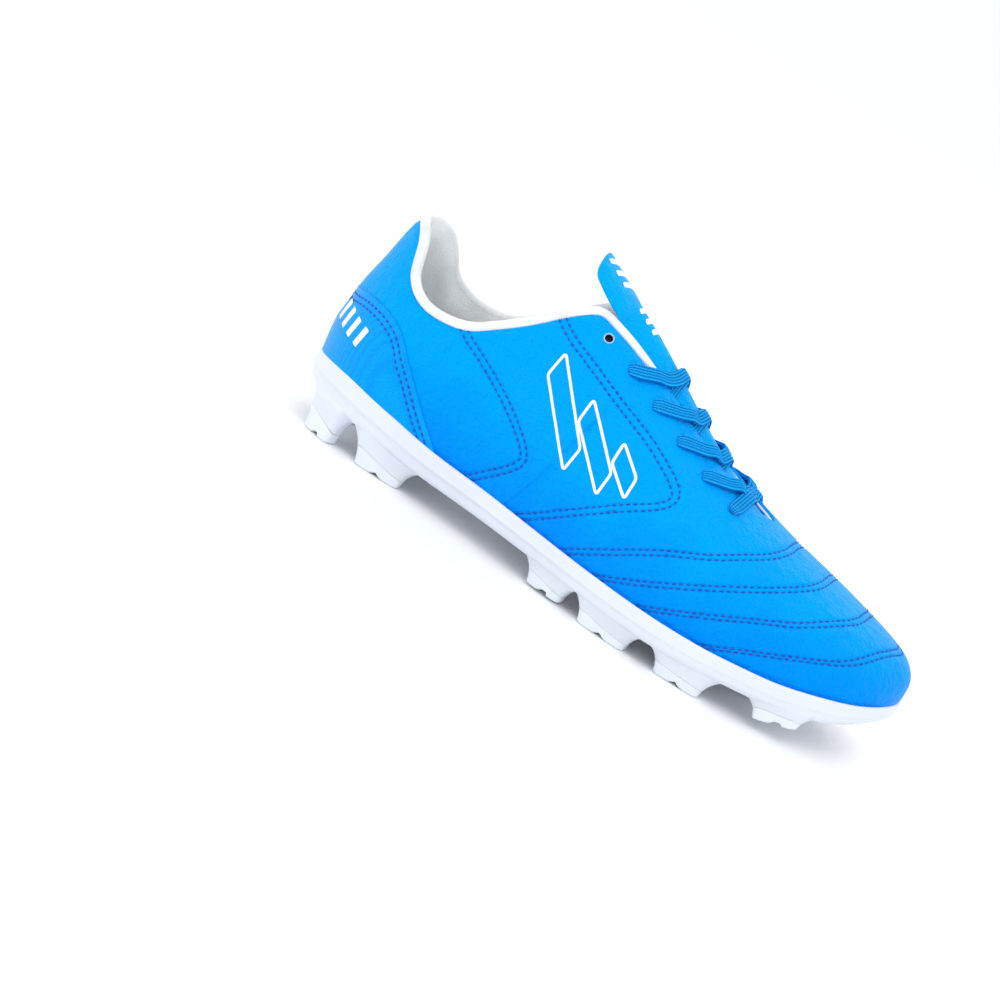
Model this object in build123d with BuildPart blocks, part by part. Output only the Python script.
from build123d import *
from math import cos, pi, sin, tan
import os

# A right-foot soccer cleat. +X points to the toe, +Y to the medial side, +Z up.
# The origin is below the middle of the shoe, at the level of the stud tips.

# ---- driving dimensions (mm) ----
length = 288.0               # heel panel to toe of the sole
skin = 1.5                   # synthetic leather of the upper
backing = 1.2                # lining, counter, puff and eyestay backing
padding = 4.0                # collar foam and its share of the wall
lining = 0.8                 # collar lining
overlay = 0.9                # heel panel, laid over the quarters
rim_wall = 2.0               # sole wall round the foot of the upper
binding_width = 3.0          # binding tape, seen from the side
toe_rim = 0.8                # the sole's wall is thinner at the toe
sole_depth = 7.0             # from the rim of the sole down to the insole board
board = 1.5                  # insole board
sockliner = 3.5
eyelet_rows = 6
eyelet_pitch = 16.1          # from one eyelet to the next, along the shoe
first_eyelet = -32.0         # the top row, nearest the ankle
eyelet_side = 18.0           # from the middle line out to the eyelets
eyelet_hole = 1.9            # radius
eyelet_ring = 2.6            # outer radius of the ring
lace = 2.4                   # thickness of the lace, drawn round
tongue_wall = 5.0

heel_x = -length / 2
toe_x = length / 2
upper_heel_x = heel_x + overlay
upper_toe_x = toe_x - toe_rim
waist_x = -50.0              # where the slices of the heel meet the sections of the foot
heel_centre_x = -100.0
toe_centre_x = 86.0
reach = 70.0                 # half width of a cutter that goes right across the shoe

# ---- lines of the shoe, as points of smooth curves along X ----
rim_line = [(-146, 28), (-130, 30.5), (-115, 30.5), (-95, 27.5), (-70, 24.2), (-35, 22.8),
            (0, 21.6), (40, 20.9), (75, 21), (100, 22.8), (120, 26.2), (132, 28.4), (140, 30.4), (148, 32.6)]
sole_line = [(-148, 17.5), (-110, 14.8), (-72, 11.6), (-30, 11), (10, 10.6), (50, 9.8),
             (85, 11), (105, 12.6), (121, 15), (132, 18.4), (140, 22.4), (148, 27.5)]
ridge_line = [(-62, 126), (-50, 121), (-32, 112.6), (-15.6, 104.3), (-1, 96.6), (15.4, 88),
              (33, 79.5), (48, 73.8), (60, 70), (74, 66), (92, 61.8), (112, 56.5), (125, 52.6),
              (134, 49), (146, 43)]
lateral_line = [(-62, 35), (-50, 35), (-20, 39.5), (10, 45), (40, 48.5), (70, 47), (92, 43), (144, 43)]
medial_line = [(-62, 31.5), (-50, 31), (-20, 31), (10, 36), (40, 43), (70, 45), (92, 43), (144, 43)]
sole_heel_half = {-1: 33.5, 1: 32.0}      # half width of the sole where the heel's round begins
heel_round = 32.5
topline = [(-160, 100.5), (-134, 101), (-128, 100.5), (-121, 94), (-115, 81.5), (-106, 75.5), (-95, 74.5),
           (-84, 77), (-74, 83.5), (-62, 93), (-53, 101.5), (-45, 107.5), (-37, 111.5), (-30, 112.5)]
heel_back = [(12, 4), (28, 1.2), (45, 0), (58, 1.6), (70, 4), (84, 7.5), (98, 11), (110, 14)]
slot_line = [(-70, 12.8), (-38, 12.8), (-20, 11), (0, 9.6), (25, 8.5), (50, 7)]
collar_half = [(12, 31), (28, 32.5), (45, 32.5), (58, 31.5), (70, 29.5), (84, 26), (98, 22.5), (110, 20)]


def smooth(points, at):
    """Height of a smooth curve through the points."""
    last = len(points) - 1
    index = max(i for i in range(last) if i == 0 or points[i][0] <= at)
    (x0, z0), (x1, z1) = points[index], points[index + 1]
    before = points[max(index - 1, 0)]
    after = points[min(index + 2, last)]
    slope0 = (z1 - before[1]) / (x1 - before[0])
    slope1 = (after[1] - z0) / (after[0] - x0)
    span = x1 - x0
    t = (at - x0) / span
    return ((2 * t**3 - 3 * t**2 + 1) * z0 + (t**3 - 2 * t**2 + t) * span * slope0
            + (3 * t**2 - 2 * t**3) * z1 + (t**3 - t**2) * span * slope1)


def middle(x):
    """The middle line of the foot bends towards the big toe."""
    return 8 * (max(x - 40, 0) / 104) ** 1.5


def toe_round(x, toe_end):
    """Share of the full width that is left as the toe closes."""
    closing = max(x - toe_centre_x, 0) / (toe_end - toe_centre_x)
    return (1 - min(closing, 1) ** 2.1) ** (1 / 2.1)


def half_width(x, side, grow):
    line = lateral_line if side < 0 else medial_line
    return smooth(line, x) * toe_round(x, upper_toe_x + grow) + grow


def section_base(x):
    return smooth(rim_line, x) - 10


def bluntness(x):
    return smooth([(-62, 2.0), (-20, 2.0), (30, 1.9), (80, 2.05), (120, 2.2), (144, 2.2)], x)


def section_height(x, y, grow=0.0):
    """Height of the upper's surface above the point x, y."""
    side = -1 if y < middle(x) else 1
    reach = abs(y - middle(x)) / half_width(x, side, grow)
    power = bluntness(x)
    rise = smooth(ridge_line, x) + grow - section_base(x)
    return section_base(x) + rise * (1 - min(reach, 1) ** power) ** (1 / power)


def wall_half_width(x, z, side, grow):
    """Half width of the upper at the height z."""
    base = section_base(x)
    share = min(max((z - base) / (smooth(ridge_line, x) + grow - base), 0), 1)
    power = bluntness(x)
    return half_width(x, side, grow) * (1 - share**power) ** (1 / power)


def upper_solid(grow):
    """The closed form of the upper, grown or shrunk, down to the insole board."""
    with BuildPart() as heel_end:
        for z in (12, 28, 45, 62, 78, 94, 110):
            half = smooth(collar_half, z) + grow
            back = upper_heel_x - grow + smooth(heel_back, z)
            waist = {side: wall_half_width(waist_x, z, side, grow) for side in (-1, 1)}
            arch = {side: 0.45 * waist[side] + 0.55 * half + 0.6 for side in (-1, 1)}
            round_heel = [(heel_centre_x + (back - heel_centre_x) * sin(a), -half * cos(a))
                          for a in (0, pi / 6, pi / 3, pi / 2, 2 * pi / 3, 5 * pi / 6, pi)]
            with BuildSketch(Plane.XY.offset(z)):
                with BuildLine():
                    Spline((waist_x, -waist[-1]), (-75, -arch[-1]), *round_heel,
                           (-75, arch[1]), (waist_x, waist[1]))
                    Line((waist_x, waist[1]), (waist_x, -waist[-1]))
                make_face()
        loft()
    with BuildPart() as foot_end:
        toe_end = upper_toe_x + grow
        closing = [toe_centre_x + (toe_end - toe_centre_x) * share
                   for share in (0.35, 0.62, 0.82, 0.93, 0.985)]
        for x in (waist_x, -32, -10, 15, 40, 65, toe_centre_x, *closing):
            base = section_base(x)
            with BuildSketch(Plane.YZ.offset(x)):
                with BuildLine():
                    arch_points = []
                    for step in range(9):
                        angle = pi * step / 8
                        side = -1 if step < 4 else 1
                        half = half_width(x, side, grow)
                        power = bluntness(x)
                        across = abs(cos(angle)) ** (2 / power)
                        up = abs(sin(angle)) ** (2 / power)
                        top = smooth(ridge_line, x) + grow
                        arch_points.append((middle(x) + side * half * across, base + (top - base) * up))
                    Spline(*arch_points)
                    Line(arch_points[-1], arch_points[0])
                make_face()
        loft()
    with BuildPart() as whole:
        add(heel_end.part)
        add(foot_end.part)
        add(above(rim_line, -sole_depth), mode=Mode.INTERSECT)
    return whole.part


def above(line, lift, below=200.0):
    """Everything above a line drawn in side view, right across the shoe."""
    with BuildPart() as region:
        with BuildSketch(Plane.XZ):
            with BuildLine():
                points = [(x, z + lift) for x, z in line]
                Spline(*points)
                Polyline(points[-1], (points[-1][0], below), (points[0][0], below), points[0])
            make_face()
        extrude(amount=reach, both=True)
    return region.part


def side_region(curves, side=0):
    """A region drawn in side view, on one side of the shoe or right across it."""
    with BuildPart() as region:
        with BuildSketch(Plane.XZ):
            with BuildLine():
                Polyline(*curves, close=True)
            make_face()
        if side == 0:
            extrude(amount=reach, both=True)
        else:
            extrude(amount=-reach * side)
    return region.part


def outline(z, grow):
    """The plan of the foot, level at the height z."""
    toe_end = toe_x - rim_wall + grow
    stations = [-75, -45, -15, 15, 45, 70, toe_centre_x]
    stations += [toe_centre_x + (toe_end - toe_centre_x) * share for share in (0.35, 0.62, 0.84, 0.96)]
    sides = {}
    for side in (-1, 1):
        edge = lateral_line if side < 0 else medial_line
        line = [(x, middle(x) + side * (smooth(edge, x) * toe_round(x, toe_end) + grow))
                for x in stations if x > -60]
        sides[side] = [(stations[0], side * (sole_heel_half[side] + grow))] + line
    heel_end = heel_x + rim_wall - grow
    round_heel = [(heel_centre_x + (heel_end - heel_centre_x) * sin(a), (heel_round + grow) * cos(a))
                  for a in (0, pi / 6, pi / 3, pi / 2, 2 * pi / 3, 5 * pi / 6, pi)]
    with BuildSketch(Plane.XY.offset(z)) as plan:
        with BuildLine():
            Spline(*sides[-1], (toe_end, middle(toe_end)), *reversed(sides[1]), *round_heel, periodic=True)
        make_face()
    return plan.sketch


def band(lower, lower_lift, upper, upper_lift):
    """The layer between two lines drawn in side view."""
    with BuildPart() as layer:
        add(above(lower, lower_lift))
        add(above(upper, upper_lift), mode=Mode.SUBTRACT)
    return layer.part


def finish(part, label):
    part.label = label
    export_step(part, f"parts/{label}.step")


os.makedirs("parts", exist_ok=True)

outer = upper_solid(0)
outer_overlay = upper_solid(overlay)
inner_skin = upper_solid(-skin)
inner_backing = upper_solid(-skin - backing)
inner_foam = upper_solid(-skin - padding)
cavity = upper_solid(-skin - padding - lining)

# ---- cutters ----
over_collar = above(topline, 0)
over_collar_skin = above(topline, -binding_width)
left_half = side_region([(-200, -10), (200, -10), (200, 220), (-200, 220)], 1)


def throat(grow, front):
    """The slot between the two facings, seen from above."""
    with BuildPart() as slot:
        with BuildSketch(Plane.XY.offset(52)):
            with BuildLine():
                near = [(x, -half - grow) for x, half in slot_line]
                far = [(x, half + grow) for x, half in slot_line]
                Spline(*near, (front + grow, 0), *reversed(far))
                Line(far[0], near[0])
            make_face()
        extrude(amount=110)
    return slot.part


slot = throat(0, 62)
slot_bound = throat(2.2, 62)
bound_stretch = side_region([(-80, 40), (4, 40), (4, 200), (-80, 200)])

quarter_edge = [(-91, 130), (-91, 75), (-82, 71), (-70, 66.5), (-57, 60), (-44, 52), (-36, 46),
                (-35, 41), (-40, 34.5), (-50, 24), (-62, 5)]
facing_edge = [(-56, 130), (-56, 98), (-45, 94), (-30, 88.5), (-12, 82), (5, 76), (18, 70),
               (26, 65.5), (28, 62), (24, 56.5), (12, 48.5), (-2, 38.5), (-14, 29), (-24, 22), (-38, 5)]
heel_top_edge = [(-150, 58), (-139, 60), (-129, 62.5), (-119, 62.5), (-111, 60.5), (-105, 57), (-99, 51),
                 (-92, 44.5), (-82, 35), (-71, 25.5), (-60, 5)]
quarter_region = [(-160, 5), (-160, 130), *quarter_edge]
side_panel_region = [*quarter_edge, *reversed(facing_edge)]
heel_panel_region = [(-160, 5), (-160, 58), *heel_top_edge]


# ---- outsole plate, with the bases of its studs ----
# name, x, y, length and width at the plate, length and width at the tip, height of the tip
studs = [
    ("forefoot_lateral_1", 108, -30, 28, 15, 18, 8, 6.0, 16),
    ("forefoot_lateral_2", 67, -38, 31, 16, 21, 8.5, 0.0, 5),
    ("forefoot_lateral_3", 31, -39.5, 32, 16, 23, 8.5, 0.0, -2),
    ("forefoot_lateral_4", 1, -36, 26, 14, 17, 8, 1.0, -8),
    ("forefoot_medial_1", 106, 36, 27, 15, 17, 8, 5.5, -14),
    ("forefoot_medial_2", 66, 37.5, 31, 16, 21, 8.5, 0.0, 0),
    ("forefoot_medial_3", 26, 30.5, 29, 15, 20, 8.5, 0.0, 10),
    ("forefoot_centre_1", 88, 4, 19, 16, 12, 9, 1.5, 0),
    ("forefoot_centre_2", 50, -2, 19, 16, 12, 9, 1.0, 0),
    ("heel_lateral_1", -120, -23, 23, 14, 16, 8.5, 0.0, -24),
    ("heel_lateral_2", -88.5, -25.5, 34, 15, 22, 8.5, 0.0, 3),
    ("heel_medial_1", -120, 23, 23, 14, 16, 8.5, 0.0, 24),
    ("heel_medial_2", -88.5, 25.5, 34, 15, 22, 8.5, 0.0, -3),
]
tip_share = 0.42             # part of a stud that is the second moulding
notch = 2.4                  # width of the notch across the end of a long stud
notch_depth = 1.3


def stud_layers(stud):
    """Heights of the tip, of the parting line and of the plate over one stud."""
    x, tip = stud[1], stud[7]
    plate = smooth(sole_line, x)
    return tip, tip + tip_share * (plate - tip), plate + 2.5


def stud_block(stud, low, high):
    """A stretch of a tapered blade between two heights."""
    name, x, y, long_top, wide_top, long_tip, wide_tip, tip, turn = stud
    top = stud_layers(stud)[2]
    with BuildPart() as block:
        for z in (low, high):
            share = ((z - tip) / (top - tip)) ** 1.5
            size_x = long_tip + share * (long_top - long_tip)
            size_y = wide_tip + share * (wide_top - wide_tip)
            with BuildSketch(Plane(origin=(x, y, z), x_dir=(cos(pi * turn / 180), sin(pi * turn / 180), 0))):
                RectangleRounded(size_x, size_y, 0.33 * size_y)
        loft()
    return block.part


with BuildPart() as outsole_plate:
    for z, grow in ((4, -2.5), (20, rim_wall - 0.5), (48, rim_wall)):
        add(outline(z, grow))
    loft()
    add(band(sole_line, 0, rim_line, 0), mode=Mode.INTERSECT)
    for stud in studs:
        tip, parting, top = stud_layers(stud)
        middle_height = 0.5 * (parting + top)
        add(stud_block(stud, parting, middle_height))
        add(stud_block(stud, middle_height, top))
    add(outer, mode=Mode.SUBTRACT)
    rivet_x, rivet_y = 124.0, 7.0
    rivet_z = smooth(sole_line, rivet_x)
    with Locations((rivet_x, rivet_y, rivet_z)):
        Cylinder(3.5, 4.0, mode=Mode.SUBTRACT)
finish(outsole_plate.part, "outsole_plate")

for stud in studs:
    tip, parting, top = stud_layers(stud)
    with BuildPart() as stud_tip:
        add(stud_block(stud, tip, parting))
        if stud[3] > 20:
            with Locations((stud[1], stud[2], tip)):
                Box(notch, 20, 2 * notch_depth, rotation=(0, 0, stud[8]), mode=Mode.SUBTRACT)
    finish(stud_tip.part, f"stud_tip_{stud[0]}")

with BuildPart() as toe_rivet:
    with Locations((rivet_x, rivet_y, rivet_z + 0.3)):
        Cylinder(3.4, 2.6)
    fillet(toe_rivet.edges().group_by(Axis.Z)[0], 0.6)
finish(toe_rivet.part, "toe_rivet")

# ---- boards and stiffeners ----
with BuildPart() as insole_board:
    add(inner_skin)
    add(band(rim_line, -sole_depth + 0.05, rim_line, -sole_depth + board), mode=Mode.INTERSECT)
finish(insole_board.part, "insole_board")

with BuildPart() as sockliner_block:
    add(cavity)
    add(band(rim_line, -sole_depth + board, rim_line, -sole_depth + board + sockliner), mode=Mode.INTERSECT)
finish(sockliner_block.part, "sockliner")

over_board = above(rim_line, -sole_depth + board)
with BuildPart() as backing_shell:
    add(inner_skin)
    add(inner_backing, mode=Mode.SUBTRACT)
    add(over_board, mode=Mode.INTERSECT)

with BuildPart() as heel_counter:
    add(backing_shell.part)
    add(side_region([(-160, 5), (-160, 62), (-118, 60), (-100, 46), (-80, 30), (-74, 5)]),
        mode=Mode.INTERSECT)
finish(heel_counter.part, "heel_counter")

with BuildPart() as toe_puff:
    add(backing_shell.part)
    add(side_region([(103, 5), (108, 120), (170, 120), (170, 5)]), mode=Mode.INTERSECT)
finish(toe_puff.part, "toe_puff")

# ---- upper: one shell of synthetic leather, cut into its panels ----
with BuildPart() as upper_shell:
    add(outer)
    add(inner_skin, mode=Mode.SUBTRACT)
    add(over_collar_skin, mode=Mode.SUBTRACT)
    add(slot, mode=Mode.SUBTRACT)
with BuildPart() as bound_edge:
    add(slot_bound)
    add(bound_stretch, mode=Mode.INTERSECT)


def eyelet_place(row, side):
    """Middle of an eyelet on the outer surface, and the direction out of it."""
    x = first_eyelet + eyelet_pitch * row
    y = side * eyelet_side
    z = section_height(x, y)
    step = 0.5
    along = (section_height(x + step, y) - section_height(x - step, y)) / (2 * step)
    across = (section_height(x, y + step) - section_height(x, y - step)) / (2 * step)
    return Vector(x, y, z), Vector(-along, -across, 1).normalized()


eyelets = {(row, side): eyelet_place(row, side) for row in range(eyelet_rows) for side in (-1, 1)}


def eyelet_drills(radius):
    with BuildPart() as drills:
        for point, out in eyelets.values():
            with BuildSketch(Plane(origin=point - out * 8, z_dir=out)):
                Circle(radius)
            extrude(amount=11)
    return drills.part


ring_holes = eyelet_drills(eyelet_ring)
panels = [("vamp", None, 0), ("side_panel_lateral", side_panel_region, -1),
          ("side_panel_medial", side_panel_region, 1), ("rear_quarter_lateral", quarter_region, -1),
          ("rear_quarter_medial", quarter_region, 1)]
for label, region, side in panels:
    with BuildPart() as panel:
        add(upper_shell.part)
        add(bound_edge.part, mode=Mode.SUBTRACT)
        if region is None:
            add(side_region(quarter_region), mode=Mode.SUBTRACT)
            add(side_region(side_panel_region), mode=Mode.SUBTRACT)
            add(ring_holes, mode=Mode.SUBTRACT)
        else:
            add(side_region(region, side), mode=Mode.INTERSECT)
    finish(panel.part, label)

with BuildPart() as heel_panel:
    add(outer_overlay)
    add(outer, mode=Mode.SUBTRACT)
    add(side_region(heel_panel_region), mode=Mode.INTERSECT)
    add(above(rim_line, 0), mode=Mode.INTERSECT)
finish(heel_panel.part, "heel_panel")

# ---- linings ----
facing_strip = throat(14, 62)
rear_of_vamp = side_region([(-160, 5), (-160, 130), (-60, 130), (-50, 100), (-40, 5)])
with BuildPart() as facing_backing:
    add(backing_shell.part)
    add(over_collar_skin, mode=Mode.SUBTRACT)
    add(bound_edge.part, mode=Mode.SUBTRACT)
    add(slot, mode=Mode.SUBTRACT)
    add(facing_strip, mode=Mode.INTERSECT)
    add(rear_of_vamp, mode=Mode.SUBTRACT)
    add(side_region([(-80, 5), (-80, 140), (54, 140), (54, 5)]), mode=Mode.INTERSECT)
    add(ring_holes, mode=Mode.SUBTRACT)
for label, keep in (("eyestay_backing_medial", Mode.INTERSECT), ("eyestay_backing_lateral", Mode.SUBTRACT)):
    with BuildPart() as backing_half:
        add(facing_backing.part)
        add(left_half, mode=keep)
    finish(backing_half.part, label)

with BuildPart() as vamp_lining:
    add(backing_shell.part)
    add(over_collar_skin, mode=Mode.SUBTRACT)
    add(slot_bound, mode=Mode.SUBTRACT)
    add(rear_of_vamp, mode=Mode.SUBTRACT)
    add(facing_backing.part, mode=Mode.SUBTRACT)
    add(toe_puff.part, mode=Mode.SUBTRACT)
    add(ring_holes, mode=Mode.SUBTRACT)
finish(vamp_lining.part, "vamp_lining")

with BuildPart() as foam_shell:
    add(inner_skin)
    add(inner_foam, mode=Mode.SUBTRACT)
    add(over_board, mode=Mode.INTERSECT)
    add(rear_of_vamp, mode=Mode.INTERSECT)
    add(over_collar_skin, mode=Mode.SUBTRACT)
    add(heel_counter.part, mode=Mode.SUBTRACT)
    add(bound_edge.part, mode=Mode.SUBTRACT)
for label, keep in (("collar_foam_medial", Mode.INTERSECT), ("collar_foam_lateral", Mode.SUBTRACT)):
    with BuildPart() as foam_half:
        add(foam_shell.part)
        add(left_half, mode=keep)
    finish(foam_half.part, label)

with BuildPart() as collar_lining:
    add(inner_foam)
    add(cavity, mode=Mode.SUBTRACT)
    add(over_board, mode=Mode.INTERSECT)
    add(rear_of_vamp, mode=Mode.INTERSECT)
    add(over_collar_skin, mode=Mode.SUBTRACT)
finish(collar_lining.part, "collar_lining")

with BuildPart() as throat_binding:
    add(outer)
    add(inner_backing, mode=Mode.SUBTRACT)
    add(bound_edge.part, mode=Mode.INTERSECT)
    add(over_collar, mode=Mode.SUBTRACT)
with BuildPart() as collar_binding:
    add(outer)
    add(cavity, mode=Mode.SUBTRACT)
    add(over_collar_skin, mode=Mode.INTERSECT)
    add(over_collar, mode=Mode.SUBTRACT)
    add(side_region([(-160, 5), (-160, 130), (-36, 130), (-36, 5)]), mode=Mode.INTERSECT)
    add(throat_binding.part)
    add(slot, mode=Mode.SUBTRACT)
    add(ring_holes, mode=Mode.SUBTRACT)
finish(collar_binding.part, "collar_binding")

# ---- eyelet rings ----
for label, side in (("eyelets_lateral", -1), ("eyelets_medial", 1)):
    with BuildPart() as rings:
        for row in range(eyelet_rows):
            point, out = eyelets[row, side]
            with BuildSketch(Plane(origin=point - out * 2.8, z_dir=out)):
                Circle(eyelet_ring)
                Circle(eyelet_hole, mode=Mode.SUBTRACT)
            extrude(amount=3.3)
    finish(rings.part, label)

# ---- tongue: a thin lining with wings under the facings, and a padded body in the slot ----
crest_line = [(-60, 5.6), (-53, 4.8), (-44, 4.0), (-36, 3.5), (-12, 3.2), (15, 1.2), (40, -1), (60, -3)]
body_half = [(-60, 9), (-54, 10.2), (-50, 11.4), (-46, 12), (-38, 11), (-20, 7.2), (0, 5.4),
             (25, 4.2), (60, 2.4)]
hinge_x = -36.0


def tongue_crest(x):
    return smooth(ridge_line, x) + smooth(crest_line, x)


def wing_half(x, side):
    return min(25, 0.76 * (half_width(x, side, -6.6)))


with BuildPart() as tongue_lining:
    for x in (57, 40, 20, 0, -16, -33):
        spread = [middle(x) + share * wing_half(x, -1 if share < 0 else 1) * (0.6 if x > 50 else 1)
                  for share in (-1, -0.66, -0.33, 0, 0.33, 0.66, 1)]
        with BuildSketch(Plane.YZ.offset(x)):
            with BuildLine():
                upper_edge = [(y, section_height(x, y, -6.8)) for y in spread]
                lower_edge = [(y, z - 2.2) for y, z in reversed(upper_edge)]
                Spline(*upper_edge)
                Line(upper_edge[-1], lower_edge[0])
                Spline(*lower_edge)
                Line(lower_edge[-1], upper_edge[0])
            make_face()
    loft()
finish(tongue_lining.part, "tongue_lining")


def tongue_stretch(stations):
    """The padded body of the tongue over a run of stations."""
    with BuildPart() as stretch:
        for x in stations:
            half = smooth(body_half, x)
            crest = tongue_crest(x)
            free = min(max((-33 - x) / 12, 0), 1)
            low = (1 - free) * (smooth(ridge_line, x) - 8.2) + free * (crest - tongue_wall)
            droop = 2.0 + 1.5 * free
            with BuildSketch(Plane.YZ.offset(x)):
                with BuildLine():
                    Spline((-half, crest - droop), (-half / 2, crest - droop / 4), (0, crest),
                           (half / 2, crest - droop / 4), (half, crest - droop))
                    Line((half, crest - droop), (half, low - droop * free))
                    Spline((half, low - droop * free), (0, low), (-half, low - droop * free))
                    Line((-half, low - droop * free), (-half, crest - droop))
                make_face()
        loft()
    return stretch.part


with BuildPart() as tongue_body:
    add(tongue_stretch((57, 40, 20, 0, -16, -28, hinge_x)))
    add(tongue_lining.part, mode=Mode.SUBTRACT)
    add(above(ridge_line, -9.2), mode=Mode.INTERSECT)
finish(tongue_body.part, "tongue_body")

with BuildPart() as tongue_top:
    add(tongue_stretch((hinge_x - 0.5, -42, -48, -53)))
finish(tongue_top.part, "tongue_top")

# ---- lace: one flat braid, drawn as a round tube of the same thickness ----
tube = lace / 2


def eyelet_outside(row, side):
    point, out = eyelets[row, side]
    return point + out * (tube + 1.5)


def eyelet_inside(row, side):
    point, out = eyelets[row, side]
    return point - out * (skin + backing + tube + 0.5)


def crossing(row, side, lift):
    """From inside an eyelet, over the tongue, to outside the next one up on the other side."""
    start, end = eyelet_inside(row, side), eyelet_outside(row - 1, -side)
    edge_x = start.X - 0.15 * eyelet_pitch
    crest_x = 0.5 * (start.X + end.X)
    far_x = end.X + 0.3 * eyelet_pitch
    gap = side * (smooth(slot_line, edge_x) - 2.3)
    far_half = smooth(slot_line, far_x)
    over_crest = tongue_crest(crest_x) + tube + 0.6 + lift
    over_edge = section_height(far_x, far_half) + 2.6 + 0.5 * lift
    return [start,
            Vector(edge_x + 0.8, gap, section_height(edge_x, gap, -skin - backing) - 2.4),
            Vector(edge_x - 0.8, gap, max(tongue_crest(edge_x), section_height(edge_x, gap)) + 0.6),
            Vector(crest_x + 1.5, side * 2.2, over_crest),
            Vector(crest_x - 1.5, -side * 2.2, over_crest),
            Vector(far_x, -side * (far_half + 1), max(tongue_crest(far_x) + 0.8, over_edge)),
            end]


def loose_end(side):
    """The end of the lace, tucked between the lining and the tongue."""
    depth = -skin - backing - tube - 0.6
    run = [(-9, 20.4), (1, 21.8), (12, 23), (24, 24.6), (36, 25.6)]
    return [Vector(x, side * y, section_height(x, side * y, depth)) for x, y in run]


def lace_half(side):
    """From the bottom bar up to the second eyelet, and on into the shoe."""
    route = []
    for row in range(eyelet_rows - 1, 1, -1):
        lift = 0.0 if side < 0 else lace + 0.5
        route += crossing(row, side, lift)
        side = -side
    return route + [eyelet_inside(1, side)] + loose_end(side)


last_row = eyelet_rows - 1
bar_x = first_eyelet + eyelet_pitch * last_row
over_bar = max(tongue_crest(bar_x), section_height(bar_x, 6)) + 2.6
bar = [eyelet_outside(last_row, -1), Vector(bar_x + 0.6, -5.5, over_bar),
       Vector(bar_x - 0.6, 5.5, over_bar), eyelet_outside(last_row, 1)]
medial_route = lace_half(1)
lateral_route = lace_half(-1)
lace_route = list(reversed(lateral_route)) + bar + medial_route


def corner_radii(points):
    """The largest arc that each corner of a route has room for."""
    radii = []
    for before, corner, after in zip(points, points[1:], points[2:]):
        turn = (corner - before).get_angle(after - corner) * pi / 180
        shorter = min((corner - before).length, (after - corner).length)
        radii.append(0.45 * shorter / tan(turn / 2))
    return radii


radii = corner_radii(lace_route)
with BuildPart() as lace_tube:
    with BuildLine():
        path = FilletPolyline(*lace_route, radius=radii)
    with BuildSketch(Plane(origin=path @ 0, z_dir=path % 0)):
        Circle(tube)
    sweep(transition=Transition.RIGHT)
finish(lace_tube.part, "lace")
for label, run in (("aglet_first", lateral_route), ("aglet_second", medial_route)):
    tip_direction = (run[-1] - run[-2]).normalized()
    with BuildPart() as aglet:
        with BuildSketch(Plane(origin=run[-1], z_dir=tip_direction)):
            Circle(tube + 0.1)
        extrude(amount=18)
        fillet(aglet.faces().sort_by(Axis.X)[-1].edges(), 0.4)
    finish(aglet.part, label)
